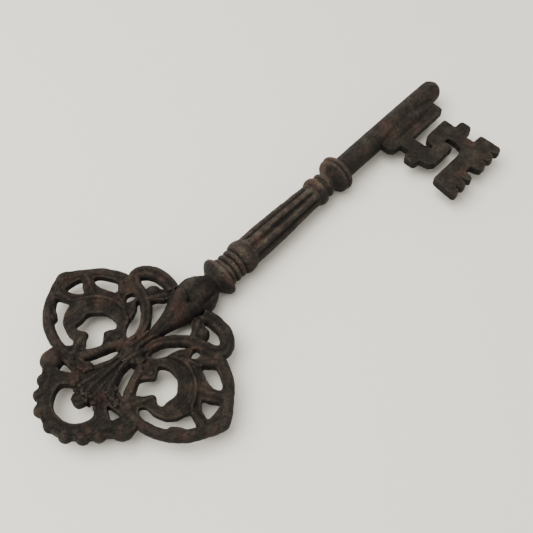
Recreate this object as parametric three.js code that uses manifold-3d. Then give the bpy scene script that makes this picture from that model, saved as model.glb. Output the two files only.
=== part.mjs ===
// A large decorative skeleton key in rust-brown cast iron.
// Lengths are millimetres. The key lies along +X, from the openwork bow to the pin's tip, with +Z up.
// Its axis runs level at the radius of its widest collar, which touches the ground, and the origin is on
// the ground under the middle of the key.
import * as THREE from "three";
import { mergeVertices } from "three/addons/utils/BufferGeometryUtils.js";
import Module from "manifold-3d";

const wasm = await Module();
wasm.setup();

// Clearances that every joint between two pieces shares.
const seatGap = 0.3;
const cutOverrun = 1;

// Bow: its outlines, and the widths in its plan, are shares of its width, measured over the two lobes. Its
// thicknesses are their own.
const bowWidth = 100;
const plateThickness = 4.4;
const plateBevel = 0.4;

const lobeBarWidth = 0.046 * bowWidth;
const lobeCornerWidth = 0.066 * bowWidth;
const lobeCuspRadius = 0.021 * bowWidth;
const lobeBarThickness = 5.6;

const strapWidth = 0.048 * bowWidth;
const scrollBandWidth = 0.06 * bowWidth;
const strapThickness = 6;
const strapGrooveDepth = 0.8;

const voluteWidth = 0.052 * bowWidth;
const voluteKnobRadius = 0.029 * bowWidth;
const voluteThickness = 5.2;

const tieWidth = 0.064 * bowWidth;
const tieLength = 0.14 * bowWidth;
const tieThickness = 10;

const beadThickness = 6.8;
const palmetteRibWidth = 0.013 * bowWidth;
const palmetteRibHeight = 0.8;

// Calyx and bulb: they stand between the two scrolls, so they follow the bow's width too.
const calyxLength = 0.295 * bowWidth;
const calyxStartRadius = 0.025 * bowWidth;
const calyxRimRadius = 0.086 * bowWidth;
const calyxRootDepth = 0.4;
const bulbLength = 0.142 * bowWidth;
const bulbRadius = 0.092 * bowWidth;
const gadroonCount = 10;
const gadroonDepth = 0.5;
const neckRadius = 4.9;

// Stem: turned and fluted pieces in order from the bulb, each by its own length.
const collarLength = 6.2;
const collarRadius = 9.4;
const neckRingLength = 3.15;
const neckRingCount = 3;
const neckRingRadius = 6.7;
const capLength = 6.6;
const capRadius = 7.8;

const shankLength = 43.6;
const shankStartRadius = 7.3;
const shankEndRadius = 5.9;
const fluteCount = 8;
const fluteDepth = 0.9;
const fluteRunout = 4;

const footLength = 6.6;
const footRadius = 6.6;
const footBeadLength = 2.8;
const footBeadRadius = 5.5;
const spoolLength = 11;
const spoolRadius = 9.2;

const pinLength = 76;
const pinRadius = 5.6;
const pinDomeLength = 5.6;

// Bit: a flat plate under the pin's side, cut by two ward slots and a row of teeth.
const bitWidth = 39.4;
const bitReach = 48.4;
const bitThickness = 4.2;
const bitBevel = 0.5;
const bitFromPinTip = 12.55;
const toothGap = 1;
const toothGapDepth = 2.4;
const middleGap = 5.4;
const middleGapDepth = 4.2;

// Fineness of curves.
const turnedSides = 26;
const barSides = 8;
const tieSteps = 7;
const curveSteps = 2;

const ironBrown = new THREE.Color(0.075, 0.055, 0.045);
const ironDark = new THREE.Color(0.055, 0.047, 0.04);
const ironRust = new THREE.Color(0.11, 0.065, 0.045);

const iron = (color) => new THREE.MeshStandardMaterial({ color, roughness: 0.72, metalness: 0.35 });

// Solids and cuts.

function solidOf(geometry) {
  const bare = geometry.index ? geometry.toNonIndexed() : geometry.clone();
  bare.deleteAttribute("normal");
  bare.deleteAttribute("uv");
  const merged = mergeVertices(bare);
  const mesh = new wasm.Mesh({
    numProp: 3,
    vertProperties: merged.attributes.position.array,
    triVerts: new Uint32Array(merged.index.array),
  });
  return new wasm.Manifold(mesh);
}

function geometryOf(solid) {
  const mesh = solid.getMesh();
  return new THREE.BufferGeometry()
    .setAttribute("position", new THREE.BufferAttribute(mesh.vertProperties, 3))
    .setIndex(new THREE.BufferAttribute(mesh.triVerts, 1));
}

const carve = (solid, ...cutters) => cutters.reduce((left, cutter) => left.subtract(cutter), solid);
const fuse = (...solids) => solids.reduce((all, next) => all.add(next));

// A closed solid through a row of rings of points, with a fan over each end.
function loft(rings) {
  const sides = rings[0].length;
  const positions = [];
  const triangles = [];
  const middle = (ring) => ring.reduce((sum, p) => sum.add(p), new THREE.Vector3()).divideScalar(sides);
  for (const ring of rings) {
    for (const point of ring) positions.push(point.x, point.y, point.z);
  }
  const first = middle(rings[0]);
  const last = middle(rings.at(-1));
  positions.push(first.x, first.y, first.z, last.x, last.y, last.z);
  const startFan = rings.length * sides;
  const endFan = startFan + 1;
  const endRing = startFan - sides;
  for (let i = 0; i < sides; i++) {
    const next = (i + 1) % sides;
    for (let r = 0; r < rings.length - 1; r++) {
      const here = r * sides;
      const beyond = here + sides;
      triangles.push(here + i, here + next, beyond + i);
      triangles.push(here + next, beyond + next, beyond + i);
    }
    triangles.push(startFan, next, i);
    triangles.push(endFan, endRing + i, endRing + next);
  }
  return new THREE.BufferGeometry()
    .setAttribute("position", new THREE.Float32BufferAttribute(positions, 3))
    .setIndex(triangles);
}

// A smooth plan curve through points given as shares of the bow's width.
function bowCurve(shares) {
  const points = shares.map(([x, y]) => new THREE.Vector3(x * bowWidth, y * bowWidth, 0));
  return new THREE.CatmullRomCurve3(points, false, "centripetal");
}

// A bar of rounded section that follows a plan curve. width(t) is the bar's width at share t of its length.
function bar(curve, { steps, width, thickness, groove = 0, grow = 0 }) {
  const rings = [];
  for (let step = 0; step <= steps; step++) {
    const t = step / steps;
    const centre = curve.getPointAt(t);
    const along = curve.getTangentAt(t);
    const across = new THREE.Vector3(-along.y, along.x, 0);
    const halfWidth = width(t) / 2 + grow;
    const halfHeight = thickness / 2 + grow;
    const ring = [];
    for (let side = 0; side < barSides; side++) {
      const angle = (side / barSides) * 2 * Math.PI + Math.PI / 2;
      const isCrown = side % (barSides / 2) === 0;
      const reach = across.clone().multiplyScalar(halfWidth * Math.cos(angle));
      const height = halfHeight * Math.sign(Math.sin(angle)) * Math.sqrt(Math.abs(Math.sin(angle)));
      const sunk = isCrown ? groove * Math.sign(height) : 0;
      ring.push(centre.clone().add(reach).setZ(height - sunk));
    }
    rings.push(ring);
  }
  return solidOf(loft(rings));
}

// A flat plate from runs of bow shares: each run is a smooth curve, and runs meet at corners.
function bowOutline(runs) {
  const shape = new THREE.Shape();
  runs.forEach((run, index) => {
    const isStraight = run.length === 2;
    const points = bowCurve(run).getPoints(isStraight ? 1 : (run.length - 1) * curveSteps);
    points.forEach((point, i) => {
      if (index === 0 && i === 0) shape.moveTo(point.x, point.y);
      else if (i > 0) shape.lineTo(point.x, point.y);
    });
  });
  return shape;
}

function plate(shape, { thickness, bevel, grow = 0 }) {
  const geometry = new THREE.ExtrudeGeometry(shape, {
    depth: thickness - 2 * bevel,
    bevelEnabled: bevel > 0,
    bevelThickness: bevel,
    bevelSize: bevel,
    bevelOffset: grow - bevel,
    bevelSegments: 1,
    steps: 1,
  });
  geometry.translate(0, 0, bevel - thickness / 2);
  return solidOf(geometry);
}

// An egg with three half axes, on a place given as shares of the bow's width.
function egg([x, y], halfX, halfY, halfZ, sides = 10) {
  const geometry = new THREE.SphereGeometry(1, sides, sides / 2 + 2);
  geometry.rotateX(Math.PI / 2);
  geometry.scale(halfX, halfY, halfZ);
  geometry.translate(x * bowWidth, y * bowWidth, 0);
  return solidOf(geometry);
}

// A turned piece about the X axis: the profile is a list of [distance along, radius], from the bow's side.
function turned(start, profile, grow = 0) {
  const points = profile.map(([along, radius]) => new THREE.Vector2(radius + grow, along));
  const ends = [new THREE.Vector2(0, profile[0][0]), new THREE.Vector2(0, profile.at(-1)[0])];
  const outline = [ends[0], ...points, ends[1]];
  const geometry = new THREE.LatheGeometry(outline, turnedSides);
  geometry.rotateZ(-Math.PI / 2);
  geometry.translate(start, 0, 0);
  return solidOf(geometry);
}

// A stem piece whose section changes round the axis: radius(along share, angle) gives its surface.
function ribbedStem(start, length, stations, sides, radius, grow = 0) {
  const rings = stations.map((share) => {
    const ring = [];
    for (let side = 0; side < sides; side++) {
      const angle = (side / sides) * 2 * Math.PI;
      const reach = radius(share, angle) + grow;
      ring.push(new THREE.Vector3(start + share * length, reach * Math.cos(angle), reach * Math.sin(angle)));
    }
    return ring;
  });
  return solidOf(loft(rings));
}

const pieces = new THREE.Group();

function addPiece(name, solid, color, side = 1) {
  const mesh = new THREE.Mesh(geometryOf(solid), iron(color));
  mesh.geometry.computeVertexNormals();
  mesh.name = name;
  mesh.scale.y = side;
  pieces.add(mesh);
  return mesh;
}

// Where each stem piece starts, counted along the axis from the bow's end.
const tieCentreShare = 0.452;
const tieCentre = tieCentreShare * bowWidth;
const calyxStart = tieCentre + tieWidth / 2 - calyxRootDepth;
const bulbStart = calyxStart + calyxLength;
const collarStart = bulbStart + bulbLength;
const neckRingStart = collarStart + collarLength;
const capStart = neckRingStart + neckRingCount * neckRingLength;
const shankStart = capStart + capLength;
const footStart = shankStart + shankLength;
const footBeadStart = footStart + footLength;
const spoolStart = footBeadStart + footBeadLength;
const pinStart = spoolStart + spoolLength;
const keyLength = pinStart + pinLength;

// Tie: the band that binds the straps, lobes, palmette and calyx together.
function tie(grow = 0) {
  const rings = [];
  for (let i = 0; i < tieSteps; i++) {
    const share = (2 * i) / (tieSteps - 1) - 1;
    const swell = Math.sqrt(1 - 0.72 * share ** 2);
    const ring = [];
    for (let side = 0; side < barSides; side++) {
      const angle = (side / barSides) * 2 * Math.PI;
      const x = tieCentre + (tieWidth / 2 + grow) * Math.cos(angle);
      const z = (tieThickness / 2) * swell * Math.sin(angle) + grow * Math.sign(Math.sin(angle));
      ring.push(new THREE.Vector3(x, share * (tieLength / 2 + grow), z));
    }
    rings.push(ring.reverse());
  }
  return solidOf(loft(rings));
}

// Calyx and bulb: the flaring stalk and the gadrooned bud that stand on the tie.
const calyxStations = [0, 0.2, 0.4, 0.6, 0.78, 0.9, 1];
const flare = (share) => calyxStartRadius + (calyxRimRadius - calyxStartRadius) * share ** 2.3;
const calyx = (grow = 0) => turned(calyxStart, calyxStations.map((s) => [s * calyxLength, flare(s)]), grow);

const bulbShares = [
  [0, 0.94],
  [0.12, 0.98],
  [0.3, 1],
  [0.5, 0.98],
  [0.68, 0.88],
  [0.82, 0.74],
  [0.93, 0.58],
  [1, 0.53],
];
function bulb(grow = 0) {
  const radii = new Map(bulbShares);
  const surface = (share, angle) => {
    const body = radii.get(share) * bulbRadius;
    const lobe = Math.abs(Math.sin((gadroonCount * angle) / 2));
    return Math.max(neckRadius, body - gadroonDepth * (1 - lobe) * Math.sin(Math.PI * share));
  };
  return ribbedStem(bulbStart, bulbLength, [...radii.keys()], gadroonCount * 4, surface, grow);
}

// Straps: reeded bands that leave the tie, cross the lobes and curl round as scrolls to the bulb.
const strapShares = [
  [0.43, 0.022],
  [0.505, 0.032],
  [0.545, 0.041],
  [0.58, 0.057],
  [0.612, 0.084],
  [0.638, 0.112],
  [0.659, 0.144],
  [0.672, 0.184],
  [0.682, 0.23],
  [0.702, 0.26],
  [0.73, 0.268],
  [0.76, 0.25],
  [0.782, 0.214],
  [0.79, 0.17],
  [0.788, 0.128],
  [0.782, 0.08],
];
const strapCurve = bowCurve(strapShares);
const scrollStartShare = 0.5;
function strapWidthAt(t) {
  const widen = THREE.MathUtils.smoothstep(t, scrollStartShare, scrollStartShare + 0.2);
  return THREE.MathUtils.lerp(strapWidth, scrollBandWidth, widen);
}
const strap = (grow = 0) =>
  bar(strapCurve, { steps: 26, width: strapWidthAt, thickness: strapThickness, groove: strapGrooveDepth, grow });

// Lobe rings: a bar from the tie round each lobe to the strap, with a pointed outer corner and a cusp.
const lobeShares = [
  [0.45, 0.07],
  [0.41, 0.088],
  [0.37, 0.104],
  [0.332, 0.122],
  [0.298, 0.148],
  [0.278, 0.182],
  [0.272, 0.225],
  [0.276, 0.274],
  [0.294, 0.33],
  [0.326, 0.382],
  [0.37, 0.424],
  [0.42, 0.45],
  [0.46, 0.468],
  [0.494, 0.476],
  [0.528, 0.46],
  [0.574, 0.426],
  [0.616, 0.388],
  [0.65, 0.341],
  [0.672, 0.3],
  [0.676, 0.264],
];
const lobeCornerShare = 0.6;
const lobeCornerSpreadShare = 0.035;
const lobeCuspShare = [0.338, 0.362];
const lobeCurve = bowCurve(lobeShares);
function lobeWidthAt(t) {
  const corner = Math.exp(-(((t - lobeCornerShare) / lobeCornerSpreadShare) ** 2));
  return lobeBarWidth + (lobeCornerWidth - lobeBarWidth) * corner;
}
const lobeRing = (grow = 0) =>
  fuse(
    bar(lobeCurve, { steps: 34, width: lobeWidthAt, thickness: lobeBarThickness, grow }),
    egg(lobeCuspShare, lobeCuspRadius + grow, lobeCuspRadius + grow, plateThickness / 2 + grow, 8),
  );

// Leaves: the broad acanthus curl inside each lobe, with the branches that reach the ring and the strap. Each
// is a plate that fills the space between the ring's and the strap's middle lines, pierced by these openings.
const leafOpeningShares = [
  // beside the lobe's corner
  [
    [0.456, 0.452],
    [0.48, 0.466],
    [0.525, 0.456],
    [0.548, 0.436],
    [0.528, 0.39],
    [0.508, 0.356],
    [0.484, 0.388],
  ],
  // between the corner and the strap
  [
    [0.574, 0.35],
    [0.597, 0.394],
    [0.628, 0.368],
    [0.652, 0.31],
    [0.648, 0.29],
    [0.625, 0.268],
    [0.602, 0.262],
    [0.582, 0.305],
  ],
  // small triangle against the strap
  [
    [0.605, 0.189],
    [0.645, 0.182],
    [0.648, 0.205],
    [0.63, 0.222],
  ],
  // long crescent round the leaf's back
  [
    [0.294, 0.22],
    [0.312, 0.204],
    [0.33, 0.22],
    [0.334, 0.264],
    [0.348, 0.308],
    [0.38, 0.34],
    [0.434, 0.366],
    [0.422, 0.4],
    [0.408, 0.428],
    [0.374, 0.422],
    [0.342, 0.396],
    [0.32, 0.374],
    [0.302, 0.35],
    [0.294, 0.29],
    [0.288, 0.25],
  ],
  // trefoil in the middle of the lobe
  [
    [0.344, 0.15],
    [0.38, 0.124],
    [0.41, 0.126],
    [0.428, 0.148],
    [0.446, 0.158],
    [0.464, 0.138],
    [0.488, 0.13],
    [0.51, 0.156],
    [0.514, 0.196],
    [0.496, 0.232],
    [0.466, 0.268],
    [0.42, 0.274],
    [0.38, 0.266],
    [0.376, 0.236],
    [0.396, 0.212],
    [0.384, 0.188],
    [0.36, 0.178],
  ],
  // slot beside the strap
  [
    [0.488, 0.06],
    [0.506, 0.09],
    [0.54, 0.114],
    [0.57, 0.122],
    [0.6, 0.135],
    [0.636, 0.158],
    [0.632, 0.13],
    [0.606, 0.096],
    [0.575, 0.068],
    [0.535, 0.054],
  ],
];
const leafRimSteps = 24;
const leafStrapShare = 0.46;
const leafRidgeShares = [
  [0.38, 0.225],
  [0.36, 0.25],
  [0.366, 0.29],
  [0.4, 0.322],
  [0.45, 0.332],
  [0.5, 0.318],
  [0.546, 0.28],
  [0.572, 0.224],
  [0.565, 0.165],
];
const leafRidgeWidth = 0.036 * bowWidth;
const leafRidgeHeight = 0.8;
function leafOutline() {
  const rim = lobeCurve.getSpacedPoints(leafRimSteps);
  const onStrap = [];
  for (let step = 0; step <= leafRimSteps / 3; step++) {
    onStrap.push(strapCurve.getPointAt((leafStrapShare * 3 * step) / leafRimSteps));
  }
  const outline = [...rim, ...onStrap.reverse()];
  return new THREE.Shape(outline.map((point) => new THREE.Vector2(point.x, point.y)));
}
function openingCutter(shares) {
  const points = shares.map(([x, y]) => new THREE.Vector3(x * bowWidth, y * bowWidth, 0));
  const curve = new THREE.CatmullRomCurve3(points, true, "centripetal");
  const outline = curve.getPoints(shares.length * curveSteps).slice(0, -1);
  const shape = new THREE.Shape(outline.map((point) => new THREE.Vector2(point.x, point.y)));
  return plate(shape, { thickness: plateThickness + 2 * (leafRidgeHeight + cutOverrun), bevel: 0 });
}
function leaf() {
  const ridgeTaper = (t) => leafRidgeWidth * (0.6 + 0.4 * Math.sin(Math.PI * t));
  const ridgeThickness = plateThickness + 2 * leafRidgeHeight;
  const solid = fuse(
    plate(leafOutline(), { thickness: plateThickness, bevel: 0 }),
    bar(bowCurve(leafRidgeShares), { steps: 14, width: ridgeTaper, thickness: ridgeThickness }),
  );
  return carve(solid, ...leafOpeningShares.map(openingCutter));
}

// Volutes: the curled ends between each strap and the bulb.
const voluteShares = [
  [0.675, 0.15],
  [0.696, 0.136],
  [0.72, 0.112],
  [0.733, 0.07],
];
const voluteKnobShare = [0.718, 0.156];
const voluteCurve = bowCurve(voluteShares);
const volute = () =>
  fuse(
    bar(voluteCurve, { steps: 10, width: () => voluteWidth, thickness: voluteThickness }),
    egg(voluteKnobShare, voluteKnobRadius, voluteKnobRadius, voluteThickness / 2),
  );

// Palmette: the fan that grows from the tie and ends in a hook over the end opening.
const palmetteHalf = [
  [
    [0.149, 0],
    [0.154, 0.014],
    [0.172, 0.027],
    [0.2, 0.036],
    [0.207, 0.052],
  ],
  [
    [0.207, 0.052],
    [0.197, 0.075],
    [0.184, 0.098],
  ],
  [
    [0.184, 0.098],
    [0.205, 0.11],
    [0.226, 0.116],
  ],
  [
    [0.226, 0.116],
    [0.236, 0.14],
    [0.24, 0.176],
  ],
  [
    [0.24, 0.176],
    [0.262, 0.19],
  ],
  [
    [0.262, 0.19],
    [0.275, 0.15],
    [0.29, 0.121],
    [0.3, 0.1],
    [0.33, 0.073],
    [0.365, 0.055],
    [0.41, 0.045],
    [0.435, 0.042],
  ],
];
const mirrored = (runs) => runs.map((run) => run.map(([x, y]) => [x, -y]).reverse()).reverse();
const palmetteRuns = [
  ...palmetteHalf,
  [
    [0.435, 0.042],
    [0.435, -0.042],
  ],
  ...mirrored(palmetteHalf),
];
const palmetteRibShares = [
  [
    [0.41, 0],
    [0.3, 0],
    [0.18, 0],
  ],
  [
    [0.41, 0.018],
    [0.33, 0.03],
    [0.23, 0.045],
  ],
  [
    [0.4, 0.032],
    [0.32, 0.055],
    [0.25, 0.105],
  ],
];
function palmetteRib(shares, side) {
  const curve = bowCurve(shares.map(([x, y]) => [x, side * y]));
  const taper = (t) => palmetteRibWidth * (0.6 + 0.8 * t);
  return bar(curve, { steps: 6, width: taper, thickness: plateThickness + 2 * palmetteRibHeight });
}
const palmette = (grow = 0) =>
  fuse(
    plate(bowOutline(palmetteRuns), { thickness: plateThickness, bevel: plateBevel, grow }),
    palmetteRib(palmetteRibShares[0], 1),
    ...palmetteRibShares.slice(1).flatMap((shares) => [palmetteRib(shares, 1), palmetteRib(shares, -1)]),
  );

// End crown: the band round the end opening, with a row of beads along its outer edge.
const crownHalf = [
  [
    [0.075, 0],
    [0.08, 0.032],
    [0.097, 0.07],
    [0.123, 0.097],
    [0.158, 0.107],
    [0.184, 0.098],
  ],
  [
    [0.184, 0.098],
    [0.2, 0.115],
    [0.222, 0.122],
  ],
  [
    [0.222, 0.122],
    [0.211, 0.145],
    [0.211, 0.168],
    [0.223, 0.18],
    [0.238, 0.176],
  ],
  [
    [0.238, 0.176],
    [0.27, 0.19],
    [0.268, 0.25],
  ],
  [
    [0.268, 0.25],
    [0.235, 0.258],
    [0.2, 0.25],
    [0.17, 0.222],
    [0.135, 0.182],
    [0.09, 0.145],
    [0.048, 0.103],
    [0.022, 0.055],
    [0.014, 0],
  ],
];
const crownRuns = [...crownHalf, ...mirrored(crownHalf)];
const crownBeads = [
  { at: [0.21, 0.221], radiusShare: 0.046 },
  { at: [0.142, 0.162], radiusShare: 0.036 },
  { at: [0.094, 0.118], radiusShare: 0.033 },
  { at: [0.054, 0.07], radiusShare: 0.035 },
  { at: [0.039, 0], radiusShare: 0.039 },
];
function crownBead({ at: [x, y], radiusShare }, side) {
  const radius = radiusShare * bowWidth;
  return egg([x, side * y], radius, radius, beadThickness / 2);
}
const crown = () =>
  fuse(
    plate(bowOutline(crownRuns), { thickness: plateThickness, bevel: plateBevel }),
    ...crownBeads.map((bead) => crownBead(bead, 1)),
    ...crownBeads.filter((bead) => bead.at[1] > 0).map((bead) => crownBead(bead, -1)),
  );

// Bow, with each piece cut back by the seat gap from the pieces that it meets.
const tieSeat = tie(seatGap);
const calyxSeat = calyx(seatGap);
const bulbSeat = bulb(seatGap);
const strapSeat = strap(seatGap);
const lobeSeat = lobeRing(seatGap);
const mirrorY = (solid) => solid.mirror([0, 1, 0]);

addPiece("tie_band", carve(tie(), calyxSeat), ironRust);
for (const [name, side] of [["left", 1], ["right", -1]]) {
  addPiece(`${name}_strap_scroll`, carve(strap(), tieSeat, calyxSeat, bulbSeat), ironBrown, side);
  addPiece(`${name}_lobe_ring`, carve(lobeRing(), tieSeat, strapSeat), ironBrown, side);
  addPiece(`${name}_leaf`, carve(leaf(), tieSeat, strapSeat, lobeSeat), ironDark, side);
  addPiece(`${name}_volute`, carve(volute(), strapSeat, calyxSeat, bulbSeat), ironBrown, side);
}
addPiece("palmette", carve(palmette(), tieSeat, lobeSeat, mirrorY(lobeSeat)), ironRust);
addPiece("bead_crown", carve(crown(), palmette(seatGap), lobeSeat, mirrorY(lobeSeat)), ironBrown);

// Stem.
addPiece("calyx", calyx(), ironBrown);
addPiece("bulb", bulb(), ironBrown);

const collarShares = [
  [0, 0.55],
  [0.12, 0.62],
  [0.5, 0.93],
  [0.62, 1],
  [0.8, 1],
  [0.92, 0.93],
  [1, 0.78],
];
const collarProfile = collarShares.map(([along, out]) => [along * collarLength, out * collarRadius]);
addPiece("bow_collar", turned(collarStart, collarProfile), ironRust);

const ringShares = [
  [0, 0.89],
  [0.18, 0.98],
  [0.5, 1],
  [0.82, 0.98],
  [1, 0.89],
];
const ringProfile = (length, radius) => ringShares.map(([along, out]) => [along * length, out * radius]);
for (let i = 0; i < neckRingCount; i++) {
  const start = neckRingStart + i * neckRingLength;
  addPiece(`neck_ring_${i + 1}`, turned(start, ringProfile(neckRingLength, neckRingRadius)), ironDark);
}

addPiece("shank_cap", turned(capStart, ringProfile(capLength, capRadius)), ironRust);

function shankRadius(share, angle) {
  const body = THREE.MathUtils.lerp(shankStartRadius, shankEndRadius, share);
  const runout = fluteRunout / shankLength;
  const fade = Math.min(1, share / runout, (1 - share) / runout);
  const hollow = Math.sin((fluteCount * angle) / 2) ** 2;
  return body - fluteDepth * hollow * fade;
}
const shankStations = [0, fluteRunout / shankLength, 0.3, 0.5, 0.7, 1 - fluteRunout / shankLength, 1];
addPiece("fluted_shank", ribbedStem(shankStart, shankLength, shankStations, fluteCount * 4, shankRadius), ironRust);

addPiece("shank_foot", turned(footStart, ringProfile(footLength, footRadius)), ironBrown);
addPiece("foot_bead", turned(footBeadStart, ringProfile(footBeadLength, footBeadRadius)), ironDark);

const spoolShares = [
  [0, 0.56],
  [0.2, 0.57],
  [0.42, 0.7],
  [0.56, 0.94],
  [0.66, 1],
  [0.8, 1],
  [0.92, 0.88],
  [1, 0.7],
];
const spoolProfile = spoolShares.map(([along, out]) => [along * spoolLength, out * spoolRadius]);
addPiece("spool_collar", turned(spoolStart, spoolProfile), ironDark);

const pinDomeSteps = 4;
const pinProfile = [[0, pinRadius]];
for (let step = 0; step < pinDomeSteps; step++) {
  const angle = ((step / pinDomeSteps) * Math.PI) / 2;
  const along = pinLength - pinDomeLength + pinDomeLength * Math.sin(angle);
  pinProfile.push([along, pinRadius * Math.cos(angle)]);
}
pinProfile.push([pinLength, 0]);
const pin = (grow = 0) => turned(pinStart, pinProfile, grow);
addPiece("pin", pin(), ironDark);

// Bit: its outline in shares of its width along the key and its reach from the key's axis.
const bitRight = keyLength - bitFromPinTip;
const bitLeft = bitRight - bitWidth;
const bitPoint = ([x, y]) => new THREE.Vector2(bitLeft + x * bitWidth, -y * bitReach);
const bitOutlineShares = [
  // left side, from the pin down to the lower slot
  [0, 0.05],
  [0, 0.227],
  [0.05, 0.264],
  [0.168, 0.264],
  [0.168, 0.362],
  [0.064, 0.372],
  [0.038, 0.403],
  [0.038, 0.465],
  [0.076, 0.5],
  [0.127, 0.512],
  [0.152, 0.61],
  [0.216, 0.647],
  // lower slot, with its branch upwards
  [0.571, 0.647],
  [0.571, 0.5],
  [0.685, 0.506],
  [0.67, 0.64],
  [0.622, 0.723],
  [0.508, 0.75],
  [0.038, 0.75],
  // toothed block
  [0, 0.775],
  [0, 0.979],
  [0.025, 1],
  [0.926, 1],
  [0.952, 0.971],
  [0.952, 0.775],
  [0.931, 0.762],
  // right side, up to the upper slot
  [0.815, 0.762],
  [0.815, 0.647],
  [0.964, 0.647],
  [0.995, 0.62],
  [0.995, 0.527],
  [0.975, 0.512],
  [0.865, 0.512],
  [0.865, 0.393],
  [0.838, 0.374],
  // upper slot, with its hooked end
  [0.548, 0.374],
  [0.485, 0.417],
  [0.447, 0.481],
  [0.348, 0.481],
  [0.348, 0.275],
  [0.959, 0.275],
  [1, 0.248],
  [1, 0.05],
];
const toothGapShares = [0.094, 0.24, 0.67, 0.81];
const middleGapShare = 0.419;
function toothGapSolid(share, width, depth) {
  const slot = new THREE.BoxGeometry(width, depth + cutOverrun, bitThickness + 2 * cutOverrun);
  slot.translate(bitLeft + share * bitWidth, -bitReach + (depth - cutOverrun) / 2, 0);
  return solidOf(slot);
}
const bitPlate = plate(new THREE.Shape(bitOutlineShares.map(bitPoint)), { thickness: bitThickness, bevel: bitBevel });
const bit = carve(
  bitPlate,
  pin(seatGap),
  ...toothGapShares.map((share) => toothGapSolid(share, toothGap, toothGapDepth)),
  toothGapSolid(middleGapShare, middleGap, middleGapDepth),
);
addPiece("bit", bit, ironDark);

const axisHeight = Math.max(collarRadius, spoolRadius, bulbRadius);
pieces.position.set(-keyLength / 2, 0, axisHeight);
const key = new THREE.Group();
key.add(pieces);

export default key;
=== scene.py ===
# %% [markdown]
# # A large decorative skeleton key in rusty cast iron
#
# The key lies flat, with its bow to the left. Its nodes come from the CAD frame, and each gets a finer
# skin here. Every place below is in millimetres along the key: X runs from the bow's end to the pin's
# tip, Y across the bow, and Z up from the key's own axis. That is how one would measure the real key with
# a rule, so it was chosen over the frame's metres, and `to_frame` moves such places into the frame.

import bpy
import numpy as np
from mathutils import Matrix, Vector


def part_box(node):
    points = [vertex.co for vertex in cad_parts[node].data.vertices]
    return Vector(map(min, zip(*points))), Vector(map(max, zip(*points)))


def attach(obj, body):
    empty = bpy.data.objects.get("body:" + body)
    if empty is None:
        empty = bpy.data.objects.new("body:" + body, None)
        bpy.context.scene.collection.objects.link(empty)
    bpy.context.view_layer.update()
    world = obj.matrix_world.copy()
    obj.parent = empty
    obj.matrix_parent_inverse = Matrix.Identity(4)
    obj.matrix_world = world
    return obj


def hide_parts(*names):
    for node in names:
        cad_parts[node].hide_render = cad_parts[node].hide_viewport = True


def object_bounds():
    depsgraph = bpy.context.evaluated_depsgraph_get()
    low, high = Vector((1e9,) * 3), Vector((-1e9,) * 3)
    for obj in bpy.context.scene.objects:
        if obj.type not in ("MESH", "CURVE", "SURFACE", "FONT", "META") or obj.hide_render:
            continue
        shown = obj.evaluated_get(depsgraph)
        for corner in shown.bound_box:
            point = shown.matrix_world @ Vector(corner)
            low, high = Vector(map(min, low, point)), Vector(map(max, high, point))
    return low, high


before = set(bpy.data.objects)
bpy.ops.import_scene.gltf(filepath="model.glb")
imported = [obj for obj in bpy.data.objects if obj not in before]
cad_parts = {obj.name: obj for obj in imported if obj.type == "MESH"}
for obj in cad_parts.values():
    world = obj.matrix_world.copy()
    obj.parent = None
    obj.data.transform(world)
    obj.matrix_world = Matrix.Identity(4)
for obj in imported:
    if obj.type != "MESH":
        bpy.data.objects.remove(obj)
cad_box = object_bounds()

MM = 0.001
print(len(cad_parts), "nodes, CAD box in mm", np.round(np.array(cad_box) / MM, 2).tolist())
highest = np.array(cad_box[1]) / MM
key_length = round(2 * highest[0], 2)
axis_height = round(highest[2] / 2, 2)
to_frame = np.array([-key_length / 2, 0.0, axis_height])
print("key", key_length, "mm long, its axis", axis_height, "mm above the table")


def node_box(node):
    """A node's lowest and highest corner in key millimetres: its box in the frame, less to_frame."""
    return np.round(np.array(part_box(node)) / MM - to_frame, 2)


def start_of(node):
    """The lowest X of a node's box."""
    return node_box(node)[0][0]


print("the stem begins at", start_of("bow_collar"), "mm and the pin at", start_of("pin"), "mm")

# %% [markdown]
# ## Smooth lines
#
# The bow is drawn by hand, so its lines have no simple formula. A Catmull-Rom curve goes through every
# point that was measured, which a Bezier curve with free handles would not promise. It is read again at
# even steps of its own length, so that bars along it get even rings.


# %% Smooth lines
def smooth_line(points, count):
    """A Catmull-Rom line: between b and c it is half of 2b + (c-a)t + (2a-5b+4c-d)t^2 + (3b-a-3c+d)t^3."""
    points = np.asarray(points, float)
    padded = np.vstack([2 * points[0] - points[1], points, 2 * points[-1] - points[-2]])
    a, b, c, d = (padded[first : first + len(points) - 1, None] for first in range(4))
    t = np.linspace(0, 1, 24, endpoint=False)[None, :, None]
    fine = 0.5 * (2 * b + (c - a) * t + (2 * a - 5 * b + 4 * c - d) * t**2 + (3 * b - a - 3 * c + d) * t**3)
    fine = np.vstack([fine.reshape(-1, points.shape[1]), points[-1:]])
    walked = np.concatenate([[0], np.cumsum(np.linalg.norm(np.diff(fine, axis=0), axis=1))])
    steps = np.linspace(0, walked[-1], count)
    return np.column_stack([np.interp(steps, walked, fine[:, axis]) for axis in range(fine.shape[1])])


def spread(values, count):
    """Values at even steps, read at count steps: a smooth line through (step, value)."""
    values = np.atleast_1d(np.asarray(values, float))
    if len(values) == 1:
        return np.full(count, values[0])
    return smooth_line(np.column_stack([np.arange(len(values)), values]), count)[:, 1]


def line_length(line):
    """The sum of the distances between neighbours."""
    return np.linalg.norm(np.diff(line, axis=0), axis=1).sum()


quarter_length = line_length(smooth_line([(0, 1), (0.5, 0.866), (0.866, 0.5), (1, 0)], 50))
print("a quarter circle through 4 points measures", round(quarter_length, 3), "not", round(np.pi / 2, 3))


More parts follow.
